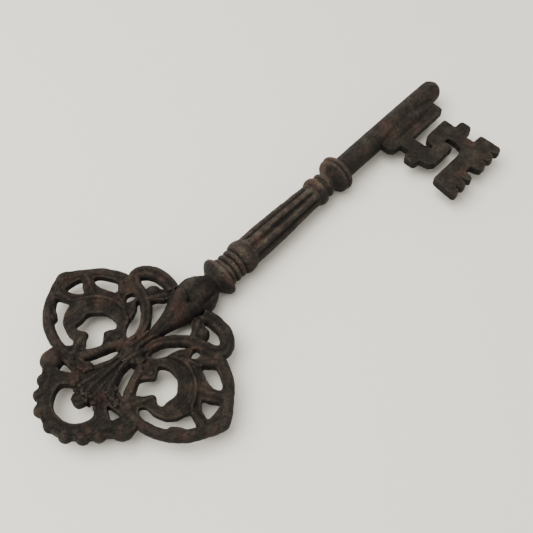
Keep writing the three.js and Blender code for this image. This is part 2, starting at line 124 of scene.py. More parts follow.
# %% [markdown]
# ## Bars, beads and turned shapes
#
# Most of the bow is bars of changing width, with small eggs where the founder added a bead. The stem was
# turned. Each is a row of rings of points, closed by a fan over each end. One function makes the
# triangles for all three, because a ring is a ring whatever shape it has. A shape is a pair: its points
# and its triangles.


# %% Rings and bars
def closed_rings(rings):
    """Points and triangles of a tube through rings, which are an array of rings, sides and 3 coordinates.

    Point (ring r, side s) meets side s + 1 and ring r + 1 in two triangles. A fan round the middle of the
    first ring and another round the middle of the last ring close the ends.
    """
    count, sides, _ = rings.shape
    points = np.vstack([rings.reshape(-1, 3), rings[0].mean(0), rings[-1].mean(0)])
    r, s = (grid.ravel() for grid in np.meshgrid(np.arange(count - 1), np.arange(sides), indexing="ij"))
    here, beside = r * sides + s, r * sides + (s + 1) % sides
    side = np.arange(sides)
    beyond = (side + 1) % sides
    last = (count - 1) * sides
    start, end = np.full(sides, count * sides), np.full(sides, count * sides + 1)
    triangles = [
        np.column_stack([here, beside, beside + sides]),
        np.column_stack([here, beside + sides, here + sides]),
        np.column_stack([start, beyond, side]),
        np.column_stack([end, last + side, last + beyond]),
    ]
    return points, np.vstack(triangles)


def round_top(u):
    """A rounded crown: the root of 1 - |u|^2.6, with u from -1 to 1 across the bar."""
    return np.sqrt(np.clip(1 - np.abs(u) ** 2.6, 0, 1))


def reeded_top(u):
    """Two broad reeds: a flat crown, the root of 1 - |u|^5, less a share of 0.16 exp(-(u / 0.2)^2)."""
    return np.sqrt(np.clip(1 - np.abs(u) ** 5, 0, 1)) * (1 - 0.16 * np.exp(-((u / 0.2) ** 2)))


def stroke(points, width, height, top=round_top, steps=60):
    """A bar along a smooth line, with a ring at each step.

    With u = cos(a) from 1 to -1, the ring reaches width/2 * u aside and height/2 * top(u) up and down.
    """
    path = smooth_line(points, steps)
    along = np.gradient(path, axis=0)
    along /= np.linalg.norm(along, axis=1, keepdims=True)
    u = np.cos(np.linspace(0, np.pi, 17))
    reach = spread(width, steps)[:, None] / 2 * u
    rise = spread(height, steps)[:, None] / 2 * top(u)
    upper = np.dstack([path[:, :1] - along[:, 1:] * reach, path[:, 1:] + along[:, :1] * reach, rise])
    lower = upper[:, -2:0:-1] * [1, 1, -1]
    return closed_rings(np.concatenate([upper, lower], axis=1)[:, ::-1])


sample_points, sample_triangles = stroke([(0, 0), (10, 0)], 4, 4)
print("a bar has", len(sample_points), "points and", len(sample_triangles), "triangles")


# %% Beads and turned shapes
def bead(x, y, radius, height=None, z=0.0):
    """An egg: x + r sin(a) cos(b), y + r sin(a) sin(b), z - h cos(a), with half height h."""
    a = np.linspace(0.06, np.pi - 0.06, 14)[:, None]
    b = np.linspace(0, 2 * np.pi, 20, endpoint=False)[None]
    half = radius if height is None else height
    reach = radius * np.sin(a)
    rings = [x + reach * np.cos(b), y + reach * np.sin(b), z - half * np.cos(a) + 0 * b]
    return closed_rings(np.stack(rings, -1)[::-1, ::-1])


def turned(start, profile, sides=72, ribs=None, rings_per_mm=1.6):
    """A shape swept round the axis: (start + x, R cos(a), R sin(a)), with R = radius(x) + ribs(x, a).

    The profile lists pairs of x and radius, and a smooth line through them gives radius(x).
    """
    profile = np.asarray(profile, float)
    line = smooth_line(profile, int(rings_per_mm * np.ptp(profile[:, 0])) + 2 * len(profile))
    angle = np.linspace(0, 2 * np.pi, sides, endpoint=False)[None]
    along = line[:, :1] + 0 * angle
    radius = line[:, 1:] + 0 * angle
    if ribs is not None:
        radius = radius + ribs(along, angle)
    return closed_rings(np.stack([start + along, radius * np.cos(angle), radius * np.sin(angle)], -1))


def mirrored(shape):
    """The same shape on the other side of the key: Y changes sign, and each triangle is turned round."""
    points, triangles = shape
    return points * [1, -1, 1], triangles[:, ::-1]


def both(*shapes):
    """The shapes and their mirror images."""
    return [*shapes, *(mirrored(shape) for shape in shapes)]


peg = turned(0, [(0, 1), (9, 1)])
print("a bead has", len(bead(0, 0, 1)[1]), "triangles and a turned peg has", len(peg[1]))


# %% [markdown]
# ## Plates with openings
#
# The leaves and the bit are flat plates with openings that go right through. Cutting holes with booleans
# would need a solid for each. A flat Blender curve fills an outline and leaves its inner outlines open,
# so it does the same in one step, and its mesh is read back into arrays.


# %% Plates
def read(elements, name, width):
    """One property of all elements as an array with a row for each."""
    values = np.empty(len(elements) * width)
    elements.foreach_get(name, values)
    return values.reshape(-1, width)


def evaluated(holder):
    """The mesh that an object and its modifiers make now."""
    bpy.context.view_layer.update()
    graph = bpy.context.evaluated_depsgraph_get()
    return bpy.data.meshes.new_from_object(holder.evaluated_get(graph), depsgraph=graph)


def softened(corners, radius=0.6):
    """A closed outline with each corner c cut by a curve from s on one side to e on the other.

    The curve is (1-t)^2 s + 2t(1-t) c + t^2 e. Both s and e lie radius from c, or 0.45 of a short side.
    """
    corners = np.asarray(corners, float)[:, None]
    arms = [np.roll(corners, turn, 0) - corners for turn in (1, -1)]
    lengths = [np.linalg.norm(arm, axis=2, keepdims=True) for arm in arms]
    ends = [corners + arm * np.minimum(0.45, radius / length) for arm, length in zip(arms, lengths)]
    t = np.array([0, 0.33, 0.67, 1])[None, :, None]
    return ((1 - t) ** 2 * ends[0] + 2 * t * (1 - t) * corners + t**2 * ends[1]).reshape(-1, 2)


def plate(outer, holes, thickness, smooth=True):
    """A plate from -thickness/2 to thickness/2 inside a closed outline, with closed outlines as holes."""
    curve = bpy.data.curves.new("plate", "CURVE")
    curve.dimensions = "2D"
    curve.fill_mode = "BOTH"
    curve.extrude = thickness / 2
    for outline in (outer, *holes):
        closed = smooth_line([*outline, outline[0]], len(outline) * 6)[:-1] if smooth else softened(outline)
        spline = curve.splines.new("POLY")
        spline.points.add(len(closed) - 1)
        spline.points.foreach_set("co", np.column_stack([closed, np.zeros_like(closed)]).ravel())
        spline.use_cyclic_u = True
    holder = bpy.data.objects.new("plate", curve)
    bpy.context.scene.collection.objects.link(holder)
    mesh = evaluated(holder)
    mesh.calc_loop_triangles()
    points = read(mesh.vertices, "co", 3)
    triangles = read(mesh.loop_triangles, "vertices", 3).astype(int)
    bpy.data.objects.remove(holder)
    bpy.data.meshes.remove(mesh)
    return points, triangles


print("a softened square has", len(softened([(0, 0), (4, 0), (4, 4), (0, 4)])), "points")


# %% [markdown]
# ## One casting from many shapes
#
# The real bow came out of a sand mould, so its bars melt into each other with small fillets and its skin
# is lumpy. Modelling every fillet by hand would take days. Instead the shapes are simply put together and
# a voxel remesh wraps them in one closed skin. Smoothing rounds the joints, and two sizes of cloud
# texture push the skin in and out. A second copy is smoothed far more. How far the skin stands out from
# that copy tells ridges from recesses. A share of how level the skin lies is added to that, as painted
# light and shade: level tops come out lighter and steep sides darker. The sum is kept on the mesh as an
# attribute that rust and rubbing follow on ridges, and that darkens recesses and steep sides as painted
# shade.


# %% Casting
def clouds(name, size, depth):
    """A cloud texture: lumps about size metres wide, with depth finer layers on them."""
    texture = bpy.data.textures.new(name, "CLOUDS")
    texture.noise_scale = size
    texture.noise_depth = depth
    return texture


fine_voxel = 0.28
lumps = clouds("lumps", 5 * MM, 2)
grain = clouds("grain", 1.8 * MM, 3)
print("lumps and grain of", [round(texture.noise_scale / MM, 1) for texture in (lumps, grain)], "mm")


def joined(shapes):
    """All shapes as one mesh in the frame's metres: each shape's triangles count on from earlier points."""
    offsets = np.cumsum([0] + [len(points) for points, _ in shapes[:-1]])
    points = np.vstack([points for points, _ in shapes])
    triangles = np.vstack([triangles + offset for (_, triangles), offset in zip(shapes, offsets)])
    mesh = bpy.data.meshes.new("shapes")
    mesh.from_pydata(((points + to_frame) * MM).tolist(), [], triangles.tolist())
    return mesh


def cast(name, nodes, shapes, slot, voxel=0.36, soften=4, lumpiness=0.42, broad_smoothing=40):
    """One cast piece that stands for the named nodes, with an attribute on its points for rubbing, rust and
    painted shade.

    The attribute is relief + 0.35 (|n| - 0.8). Relief is how many millimetres the skin stands out from a
    copy that is smoothed broad_smoothing times and has no lumps, and n is the vertical part of the skin's
    normal. The |n| term is
    painted light and shade: level tops come out lighter and steep sides darker.
    """
    holder = bpy.data.objects.new(name + "_shapes", joined(shapes))
    bpy.context.scene.collection.objects.link(holder)
    remesh = holder.modifiers.new("remesh", "REMESH")
    remesh.mode = "VOXEL"
    remesh.voxel_size = voxel * MM
    soft = holder.modifiers.new("soft", "SMOOTH")
    soft.factor = 0.5
    soft.iterations = soften
    for texture, share in ((lumps, 1.0), (grain, 0.8)):
        push = holder.modifiers.new(texture.name, "DISPLACE")
        push.texture = texture
        push.texture_coords = "LOCAL"
        push.strength = lumpiness * share * MM
        push.mid_level = 0.5
    mesh = evaluated(holder)
    soft.iterations = broad_smoothing
    for texture in (lumps, grain):
        holder.modifiers[texture.name].show_viewport = False
    broad = evaluated(holder)
    outward = read(broad.vertex_normals, "vector", 3)
    relief = ((read(mesh.vertices, "co", 3) - read(broad.vertices, "co", 3)) * outward).sum(1) / MM
    flatness = np.abs(read(mesh.vertex_normals, "vector", 3)[:, 2])
    # Painted light and shade: this term lifts level tops and lowers steep sides, which the colour turns
    # into lighter tops and darker sides.
    wear_and_shade = relief + 0.35 * (flatness - 0.8)
    mesh.attributes.new("wear_and_shade", "FLOAT", "POINT").data.foreach_set("value", wear_and_shade)
    bpy.data.meshes.remove(broad)
    bpy.data.objects.remove(holder)

    mesh.name = name
    mesh.shade_smooth()
    mesh.materials.clear()
    mesh.materials.append(iron_for[slot])
    piece = bpy.data.objects.new(name, mesh)
    bpy.context.scene.collection.objects.link(piece)
    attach(piece, "root")
    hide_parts(*nodes)
    print(name, len(mesh.polygons), "faces, wear", np.percentile(wear_and_shade, [5, 50, 95]).round(2))


# %% [markdown]
# ## Rusty iron
#
# The key is almost black iron with a brown film. Red rust sits on the ridges that hands rub and in a few
# patches, and grey-olive dust lies in soft clouds. Painted shade turns recesses and steep sides black, and
# painted light makes level tops a little greyer and lighter. All three irons of the key share this effect,
# so it is one node group, built once, with sockets for how much rust and dust each has
# and how light it is: the bow is the darkest and the stem the lightest, as in the picture. A painted
# image would tie the look to one unwrapped mesh, while noise in Object coordinates wraps every piece
# without a seam. Colours are linear.

# %% The rust effect
# DARK is the iron's own black and also the painted shade in recesses and on steep sides. The fifth colour
# is rubbed grey on ridges and painted light on level tops.
DARK = (0.0100, 0.0088, 0.0082, 1)
BROWN = (0.048, 0.039, 0.031, 1)
RUST = (0.155, 0.075, 0.052, 1)
DUST = (0.092, 0.087, 0.058, 1)
WORN_AND_TOP_LIGHT = (0.150, 0.126, 0.104, 1)


def rust_effect():
    """A group that mixes dark and brown by noise, turns dark again as painted shade where its first input
    is low, and grey where it is high: rubbed grey on ridges, painted light on level tops.

    Red is mixed in by Rust * (0.35 crest + 0.42 patch) * speck, and dust by Dust * cloud, where crest,
    patch, speck and cloud run from 0 to 1. Tone multiplies the finished colour. Roughness follows the
    specks, and Height adds a coarse and a fine noise for the bump.
    """
    group = bpy.data.node_groups.new("rusty iron", "ShaderNodeTree")
    for socket in ("WearAndShade", "Rust", "Dust", "Tone"):
        group.interface.new_socket(socket, in_out="INPUT", socket_type="NodeSocketFloat")
    group.interface.new_socket("Color", in_out="OUTPUT", socket_type="NodeSocketColor")
    for socket in ("Roughness", "Height"):
        group.interface.new_socket(socket, in_out="OUTPUT", socket_type="NodeSocketFloat")
    nodes, links = group.nodes, group.links
    given = nodes.new("NodeGroupInput").outputs
    result = nodes.new("NodeGroupOutput").inputs
    place = nodes.new("ShaderNodeTexCoord").outputs["Object"]

    def noise(per_mm, detail, roughness=0.6):
        """Noise from 0 to 1 with about per_mm blots in a millimetre."""
        node = nodes.new("ShaderNodeTexNoise")
        node.inputs["Scale"].default_value = per_mm / MM
        node.inputs["Detail"].default_value = detail
        node.inputs["Roughness"].default_value = roughness
        links.new(place, node.inputs["Vector"])
        return node.outputs["Fac"]

    def spanned(value, low, high, to_low=0.0, to_high=1.0):
        """The value, moved in a straight line from low..high to to_low..to_high and held inside it."""
        node = nodes.new("ShaderNodeMapRange")
        for name, number in zip(("From Min", "From Max", "To Min", "To Max"), (low, high, to_low, to_high)):
            node.inputs[name].default_value = number
        links.new(value, node.inputs["Value"])
        return node.outputs["Result"]

    def mixed(factor, first, second):
        """The colour first (1 - factor) + second factor."""
        node = nodes.new("ShaderNodeMix")
        node.data_type = "RGBA"
        links.new(factor, node.inputs["Factor"])
        if isinstance(first, tuple):
            node.inputs["A"].default_value = first
        else:
            links.new(first, node.inputs["A"])
        node.inputs["B"].default_value = second
        return node.outputs["Result"]

    def combined(operation, first, second):
        """Two values put through one operation, such as ADD. The second may be a number."""
        node = nodes.new("ShaderNodeMath")
        node.operation = operation
        links.new(first, node.inputs[0])
        if isinstance(second, float):
            node.inputs[1].default_value = second
        else:
            links.new(second, node.inputs[1])
        return node.outputs[0]

    mottle = spanned(noise(1.1, 6.0, 0.75), 0.36, 0.66)
    speck = spanned(noise(1.7, 4.0, 0.75), 0.42, 0.6)
    patch = spanned(noise(0.1, 3.0), 0.52, 0.66)
    # Painted light and shade: the first mask is rubbing on ridges and painted light on level tops, the
    # second is painted shade in recesses and on steep sides.
    crest_and_top_light = spanned(given["WearAndShade"], 0.1, 0.55)
    painted_hollow_shade = spanned(given["WearAndShade"], 0.15, -0.2)
    color = mixed(mottle, DARK, BROWN)
    cloud = combined("MULTIPLY", spanned(noise(0.12, 5.0, 0.7), 0.5, 0.66), given["Dust"])
    color = mixed(cloud, color, DUST)
    # Rubbed grey on ridges, and painted light on level tops.
    color = mixed(combined("MULTIPLY", crest_and_top_light, combined("MULTIPLY", speck, 0.75)), color, WORN_AND_TOP_LIGHT)
    # Painted shade: recesses and steep sides go back to DARK.
    color = mixed(combined("MULTIPLY", painted_hollow_shade, 0.9), color, DARK)
    reddened = combined("ADD", combined("MULTIPLY", crest_and_top_light, 0.35), combined("MULTIPLY", patch, 0.42))
    reddened = combined("MULTIPLY", combined("MULTIPLY", reddened, given["Rust"]), speck)
    color = mixed(reddened, color, RUST)
    toned = nodes.new("ShaderNodeVectorMath")
    toned.operation = "SCALE"
    links.new(color, toned.inputs["Vector"])
    links.new(given["Tone"], toned.inputs["Scale"])
    links.new(toned.outputs["Vector"], result["Color"])
    links.new(spanned(speck, 0.0, 1.0, 0.4, 0.7), result["Roughness"])
    fine = combined("MULTIPLY", noise(1.9, 3.0, 0.7), 0.95)
    links.new(combined("ADD", noise(0.8, 5.0, 0.75), fine), result["Height"])
    return group


rusty_iron = rust_effect()
print(rusty_iron.name, "has", len(rusty_iron.nodes), "nodes and takes Wear, Rust, Dust and Tone")


# %% The three irons
def iron_material(name, rust, dust, tone):
    """The rust effect on a plain non-metal shader: rust hides the metal, so the skin looks like stone."""
    material = bpy.data.materials.new(name)
    material.use_nodes = True
    nodes, links = material.node_tree.nodes, material.node_tree.links
    wear_and_shade = nodes.new("ShaderNodeAttribute")
    wear_and_shade.attribute_name = "wear_and_shade"
    effect = nodes.new("ShaderNodeGroup")
    effect.node_tree = rusty_iron
    effect.inputs["Rust"].default_value = rust
    effect.inputs["Dust"].default_value = dust
    effect.inputs["Tone"].default_value = tone
    links.new(wear_and_shade.outputs["Fac"], effect.inputs["WearAndShade"])
    shader = nodes["Principled BSDF"]
    shader.inputs["Specular IOR Level"].default_value = 0.1
    links.new(effect.outputs["Color"], shader.inputs["Base Color"])
    links.new(effect.outputs["Roughness"], shader.inputs["Roughness"])
    bump = nodes.new("ShaderNodeBump")
    bump.inputs["Strength"].default_value = 1.0
    bump.inputs["Distance"].default_value = 1.1 * MM
    links.new(effect.outputs["Height"], bump.inputs["Height"])
    links.new(bump.outputs["Normal"], shader.inputs["Normal"])
    print(name, "rust", rust, "dust", dust, "tone", tone)
    return material


iron_for = {
    "bow_iron": iron_material("bow_iron_skin", rust=0.9, dust=0.25, tone=0.82),
    "shank_iron": iron_material("shank_iron_skin", rust=1.5, dust=0.6, tone=1.17),
    "bit_iron": iron_material("bit_iron_skin", rust=1.0, dust=0.4, tone=0.92),
}

# %% [markdown]
# ## The sides of the bow
#
# Each side is one lobe: a ring, a branching leaf inside it, a grooved strap that curls in from the stem,
# and a small scroll. The founder's pattern was cut once and turned over, so only the left side (Y above
# zero) is drawn, and the right side is its mirror image. A plate with openings carries the leaf, and bars
# laid on it make the ribs, which is how a carver would build up the pattern.


# %% The lobe ring and the leaf
def veined_top(u):
    """A rounded crown with shallow veins along it: round_top times a cosine of five crests."""
    return round_top(u) * (0.88 + 0.12 * np.cos(4 * np.pi * u))


bar_height = 5.4
web_thickness = 3.8
lobe_line = [
    (45, 7), (41, 8.8), (37, 10.4), (33.2, 12.2), (29.8, 14.8), (27.8, 18.2), (27.2, 22.5),
    (27.6, 27.4), (29.4, 33), (32.6, 38.2), (37, 42.5), (41.6, 45.4), (45.8, 47.6), (49.4, 48.2),
    (53, 46.8), (57.8, 43), (62.2, 39.2), (65.6, 34.3), (67.6, 30), (67.8, 26.4),
]
strap_line = [
    (43, 2), (50.5, 3.2), (54.5, 4.1), (58, 5.7), (61.2, 8.4), (63.8, 11.2), (65.9, 14.4), (67.2, 18.4),
    (68.2, 23), (70.2, 26), (73, 26.8), (76, 25), (78.2, 21.4), (79, 17), (78.8, 12.8), (77.8, 9),
]

corner_hole = [(46.2, 43.6), (50, 43.6), (54, 42.2), (51.8, 38.5), (50.5, 36), (47.5, 39)]
right_hole = [(57, 36), (58.5, 38.6), (61.2, 36.4), (64.1, 30.4), (62, 27.3), (60.2, 26.3), (57.5, 32)]
small_hole = [(59.8, 19), (61.6, 21.6), (64.6, 20.8), (64, 17.8)]
long_hole = [
    (29.4, 22), (31.2, 20.4), (33, 22), (33.4, 26.4), (34.8, 30.8), (38, 34), (43.4, 36.6), (42.2, 40),
    (40.6, 42.4), (38, 40.4), (35.8, 36.4), (33.2, 35.6), (31.4, 34.6), (29.8, 29), (29.1, 25),
]
trefoil_hole = [
    (33.6, 15.2), (36.8, 12.3), (39.5, 11.8), (42, 13.5), (44, 15.5), (46, 14.5), (48.5, 13),
    (50.5, 15.5), (50.7, 19), (50, 22), (47, 25.5), (44.5, 27), (41, 26.5), (38, 26.5), (37.5, 24),
    (39, 20.5), (36.2, 18.2),
]
strap_hole = [
    (48.6, 6), (50.6, 9.4), (54, 11.7), (57, 12.5), (60, 13.7), (63.6, 16.2), (63, 13), (60.6, 9.8),
    (57.4, 7), (53.5, 5.6),
]
lobe_holes = [corner_hole, right_hole, small_hole, long_hole, trefoil_hole, strap_hole]

lobe_widths = [4, 4.2, 4.4, 4.6, 4.8, 5.2, 5.2, 5.2, 5, 4.8, 4.6]
lobe_ring = [
    stroke(lobe_line, lobe_widths, bar_height, steps=150),
    stroke([(45.4, 48.4), (49.4, 49.4), (53.2, 48)], [3, 4.2, 3], 5.6),
    bead(33.6, 36.6, 2.2, 2.6),
    bead(28.6, 16.8, 3.2, 3.3),
]
leaf_band = [
    (37.4, 22), (35.4, 25), (36.4, 29.4), (40, 32.4), (45, 33.2), (50, 31.8), (54.6, 28), (57.2, 22.4),
    (57, 17), (54.6, 13.4),
]
leaf_widths = [2.6, 3.2, 4.6, 5.4, 5.8, 6, 5.8, 5.2, 4, 3]
leaf_heights = [4, 4.4, 4.9, 5.2, 5.2, 5.2, 5, 4.6]
leaf_rib = [(43.6, 38.5), (45, 36), (50, 33), (54, 29), (56, 25), (57, 21), (56.5, 17), (54.6, 12.4)]
leaf = [
    plate(lobe_line + strap_line[8::-1], lobe_holes, web_thickness),
    stroke(leaf_band, leaf_widths, leaf_heights, veined_top, steps=110),
    stroke(leaf_rib, [1.6, 1.8, 1.8, 1.7, 1.4], [5.6, 6.2, 6.4, 6.4, 5.6], steps=90),
    stroke([(57.4, 16.6), (59, 21.6), (60.4, 26)], [1.4, 1.7, 1.4], 6.0),
    stroke([(46.6, 33), (44.4, 38.5), (43, 44.6)], [4, 3.2, 4.4], 5.2),
    stroke([(52.6, 32), (55, 37), (57.4, 42.6)], [4.4, 3, 4.2], 5.2),
    stroke([(57, 23), (61.6, 25), (66.4, 29.4)], [4, 3, 4], 5.2),
    stroke([(56.6, 14.6), (61, 16.4), (65, 17.4)], [4.4, 2.6, 2.4], 5),
    stroke([(27.4, 16.5), (32, 18.4), (36.6, 20)], [4.4, 3.6, 3], 5.2),
    stroke([(46, 8.4), (45.2, 12.4)], [5, 3.4], 5.4),
    bead(44.6, 12.6, 2.3, 2.9),
    bead(37.6, 20.9, 1.9, 2.6),
    bead(58.6, 20.6, 2.2, 3.1),
    stroke([(33, 13.4), (38, 10.6), (43, 9.4)], [3, 3, 3], 5.6),
]
print("a lobe has", len(lobe_ring), "shapes in its ring and", len(leaf), "in its leaf")

# %% The strap, the scroll and both sides
strap_widths = [4.2, 4.4, 4.6, 4.8, 5.2, 5.8, 6, 6.2, 6.4, 6.2, 6]
strap_heights = [5.8, 5.2, 5.2, 5.4, 6]
strap_scroll = [stroke(strap_line, strap_widths, strap_heights, reeded_top, steps=130)]
scroll_edge = [
    (64.8, 13.8), (66.8, 18), (68, 23), (70.2, 26), (73, 26.8), (76, 25), (78.2, 21.4), (79, 17),
    (78.8, 12.8), (77.8, 9), (74.4, 7.4), (71.6, 8.2), (69, 11), (66.4, 12),
]
scroll_hole = [
    (69.3, 18.8), (70, 23.2), (72.8, 23.8), (76.1, 19.4), (77, 15), (75.6, 12), (74.2, 14), (73.8, 16),
    (72.4, 17.6), (70.4, 17.8),
]
volute = [
    plate(scroll_edge, [scroll_hole], web_thickness),
    bead(71.6, 14.9, 2.9, 3.4),
    stroke([(66, 14), (70, 12.4), (74.6, 9.4)], [3, 3.4, 4], 5.4),
]

side_parts = {"lobe_ring": lobe_ring, "leaf": leaf, "strap_scroll": strap_scroll, "volute": volute}
for part, shapes in side_parts.items():
    cast(f"cast_left_{part}", [f"left_{part}"], shapes, "bow_iron")
    cast(f"cast_right_{part}", [f"right_{part}"], [mirrored(shape) for shape in shapes], "bow_iron")

# %% [markdown]
# ## The palmette, the crown and the tie
#
# A palmette, a small fan of leaves, stands on the tie and pokes a blunt nose into the end opening. The
# crown is the beaded end of the bow. Rot has left the palmette's flanks pebbly. A noise texture would
# give lumps of every size, so real small eggs are strewn there, at places drawn from a seeded normal
# spread.


# %% The palmette
def symmetric(half):
    """A closed outline from its half above the axis, with both ends on the axis: the rest is (x, -y)."""
    return [*half, *((x, -y) for x, y in half[-2:0:-1])]


pebble_places = np.random.default_rng(7)


def pebbles(x, y, spread_x, spread_y, count, height):
    """Small eggs at (x, y) plus normal deviates times the spreads, half of them above, the others below."""
    places = pebble_places.normal((x, y), (spread_x, spread_y), (count, 2))
    sizes = pebble_places.uniform(0.55, 0.95, count)
    eggs = list(zip(places, sizes))
    return [bead(*place, size, size, side * height) for place, size in eggs for side in (1, -1)]


palmette_half = [
    (14.8, 0), (15.2, 1.7), (17, 2.8), (19.6, 3.2), (20.6, 5.4), (19.8, 7.8), (18.6, 10), (21, 11.2),
    (23, 10.6), (24.8, 14), (25, 18), (26.4, 20), (27.4, 16), (28, 12), (29.6, 8.4), (31.6, 6.4),
    (36, 4.2), (40, 3.4), (46, 3.4), (47, 0),
]
crown_thickness = 4.8
palmette_spine = [(46, 0), (36, 0), (27, 0), (20, 0), (16.6, 0)]
palmette = [
    plate(symmetric(palmette_half), [], crown_thickness),
    stroke(palmette_spine, [3, 2.6, 3, 3.6, 3.4], [7.4, 7.2, 6.6, 5.8, 5.2]),
    bead(17.2, 0, 2.6, 2.9),
    *both(
        stroke([(45, 2), (38, 2.4), (32.6, 4.2), (26.4, 7.6)], [2.4, 2.2, 2.8, 3.6], [6.6, 6.4, 6.2, 5.4]),
        stroke([(30, 2.6), (26, 3.1), (21.6, 4)], [1.6, 2.6, 2.4], 5.6),
        stroke([(29.2, 8.2), (27.4, 11.8), (26.5, 16), (26.2, 21)], [1.6, 2.2, 2.2, 2.8], 5.6),
        stroke([(25, 7.6), (21.8, 8), (19.6, 10)], [2.6, 2.4, 2.4], 5.4),
        *pebbles(22.6, 6.6, 1.3, 0.9, 16, 2.7),
        *pebbles(28.6, 7.6, 1.5, 1.0, 22, 2.9),
        *pebbles(26.6, 12.0, 0.6, 1.8, 16, 2.8),
        *pebbles(20.8, 2.0, 1.4, 1.0, 10, 2.7),
    ),
]
cast("cast_palmette", ["palmette"], palmette, "bow_iron", voxel=0.26, soften=2)

# %% The bead crown and the tie
end_eye = [
    (7.4, 0), (7.8, 3), (9.5, 6.5), (12, 8.6), (15, 9.9), (17, 9.7), (18.5, 8), (20.6, 5), (22.5, 3),
    (24, 0),
]
side_eye = [(20.4, 15.2), (20.8, 17.8), (22.2, 18.8), (23.8, 17.8), (24, 14), (23.2, 10.8)]
crown_half = [
    (1.2, 0), (2.1, 4.6), (5.1, 10.4), (9.4, 15.1), (13.7, 18.5), (17.6, 22.4), (20.6, 25), (26.2, 25),
    (29, 18), (30, 12), (30, 6), (30, 0),
]
crown_band_half = [(25, 22.8), (20.4, 19.8), (15.2, 15.8), (10, 12), (5.8, 7), (4.4, 0)]
crown_band = [*crown_band_half, *((x, -y) for x, y in crown_band_half[-2::-1])]
crown_widths = [6, 5, 4.8, 4.6, 4.4, 4.4, 4.4, 4.6, 4.8, 5, 6]
eyes = [symmetric(end_eye), side_eye, [(x, -y) for x, y in side_eye]]
crown = [
    plate(symmetric(crown_half), eyes, crown_thickness),
    stroke(crown_band, crown_widths, 5.8, steps=120),
    bead(3.5, 0, 3.4, 3.3),
    *both(
        bead(21.3, 21.6, 5, 4.1),
        bead(13.4, 16.9, 3.0, 3.4),
        bead(8.5, 13.0, 3.0, 3.4),
        bead(4.6, 7.6, 3.1, 3.4),
    ),
]
cast("cast_bead_crown", ["bead_crown"], crown, "bow_iron")

tie = [
    stroke([(45.4, -7.4), (45, 0), (45.4, 7.4)], [5, 8, 5], [6.4, 9.2, 6.4]),
    *both(
        stroke([(42, 4.4), (45.6, 2.6), (50, 1), (57, 1.6)], [2.6, 3.4, 3, 2], [6.8, 9.6, 8.4, 6.6]),
        stroke([(40, 0.9), (45, 2.8), (51, 4)], [2.2, 3.4, 3], [6.8, 9.4, 7.2]),
    ),
]
cast("cast_tie_band", ["tie_band"], tie, "bow_iron")

# %% [markdown]
# ## The calyx and the bulb
#
# Out of the tie grows a calyx of five petals that holds a bulb. They were turned and then carved, so here
# a radius along the axis gives the turning, and a small term that depends on the angle gives the carving.
# A sum of two formulas is shorter than carving each petal.


# %% The calyx and the bulb
def petals(x, angle):
    """Five petals: 1.2 (|cos 2.5a| - 0.6) mm that grows with x, less 1.2 mm beyond its rounded edge.

    The growth rises from 0 at 5 mm to 1 at 26 mm. The edge lies at 26 + 4.5 |cos 2.5a|^0.6 mm.
    """
    petal = np.abs(np.cos(2.5 * angle))
    growth = np.clip((x - 5) / 21, 0, 1)
    beyond_edge = np.clip((x - 26 - 4.5 * petal**0.6) / 1.2, 0, 1)
    return 1.2 * growth * (petal - 0.6) - 1.2 * beyond_edge


def gadroons(x, angle):
    """Seven creases of 1.3 sin(pi x / 14) (1 - |sin(3.5 a + 0.6)|)^2 mm, deepest halfway along."""
    return -1.3 * np.sin(np.pi * np.clip(x / 14, 0, 1)) * (1 - np.abs(np.sin(3.5 * angle + 0.6))) ** 2


calyx_profile = [
    (0, 2.4), (6, 2.5), (12, 3.0), (17, 3.8), (22, 5.5), (26.5, 7.8), (29.2, 9.0), (30.4, 8.9),
    (31, 7.6),
]
bulb_profile = [
    (0, 7.8), (1.6, 8.7), (4.4, 9.2), (7.4, 8.9), (10, 7.8), (12.4, 6.1), (14, 5.0), (14.8, 4.8),
]
calyx_root = 0.2
calyx = turned(start_of("calyx") - calyx_root, calyx_profile, ribs=petals)
bulb = turned(start_of("bulb"), bulb_profile, ribs=gadroons)
cast("cast_calyx", ["calyx"], [calyx], "bow_iron", voxel=fine_voxel, soften=2)
cast("cast_bulb", ["bulb"], [bulb], "bow_iron", voxel=fine_voxel, soften=2)

# %% [markdown]
# ## The stem
#
# Next come a collar, three neck rings and a cap, then the fluted shank, its foot, a bead and a spool. On
# a lathe these are one bar with a changing radius. Here each is its own turned piece, as each is its own
# node in the frame and begins where its node begins. The shank's flutes run out before its ends, as a
# round cutter leaves them. Relief, which steers rust, rubbing and painted shade, is measured against a
# smoother copy than the bow's, because these ridges and rings are broader.


# %% The stem
def flutes(x, angle):
    """Eight grooves of 1.3 sin(4a)^4 mm, faded in over the first and out over the last 3 mm of 43."""
    fade = np.clip(x / 3, 0, 1) * np.clip((43 - x) / 3, 0, 1)
    return -1.3 * fade * np.sin(4 * angle) ** 4


def shank_piece(name, profile, ribs=None):
    """One turned piece of the stem, from where its node begins, through its profile of (x, radius)."""
    shapes = [turned(start_of(name), profile, ribs=ribs)]
    detail = {"voxel": fine_voxel, "soften": 2, "lumpiness": 0.3, "broad_smoothing": 85}
    cast(f"cast_{name}", [name], shapes, "shank_iron", **detail)


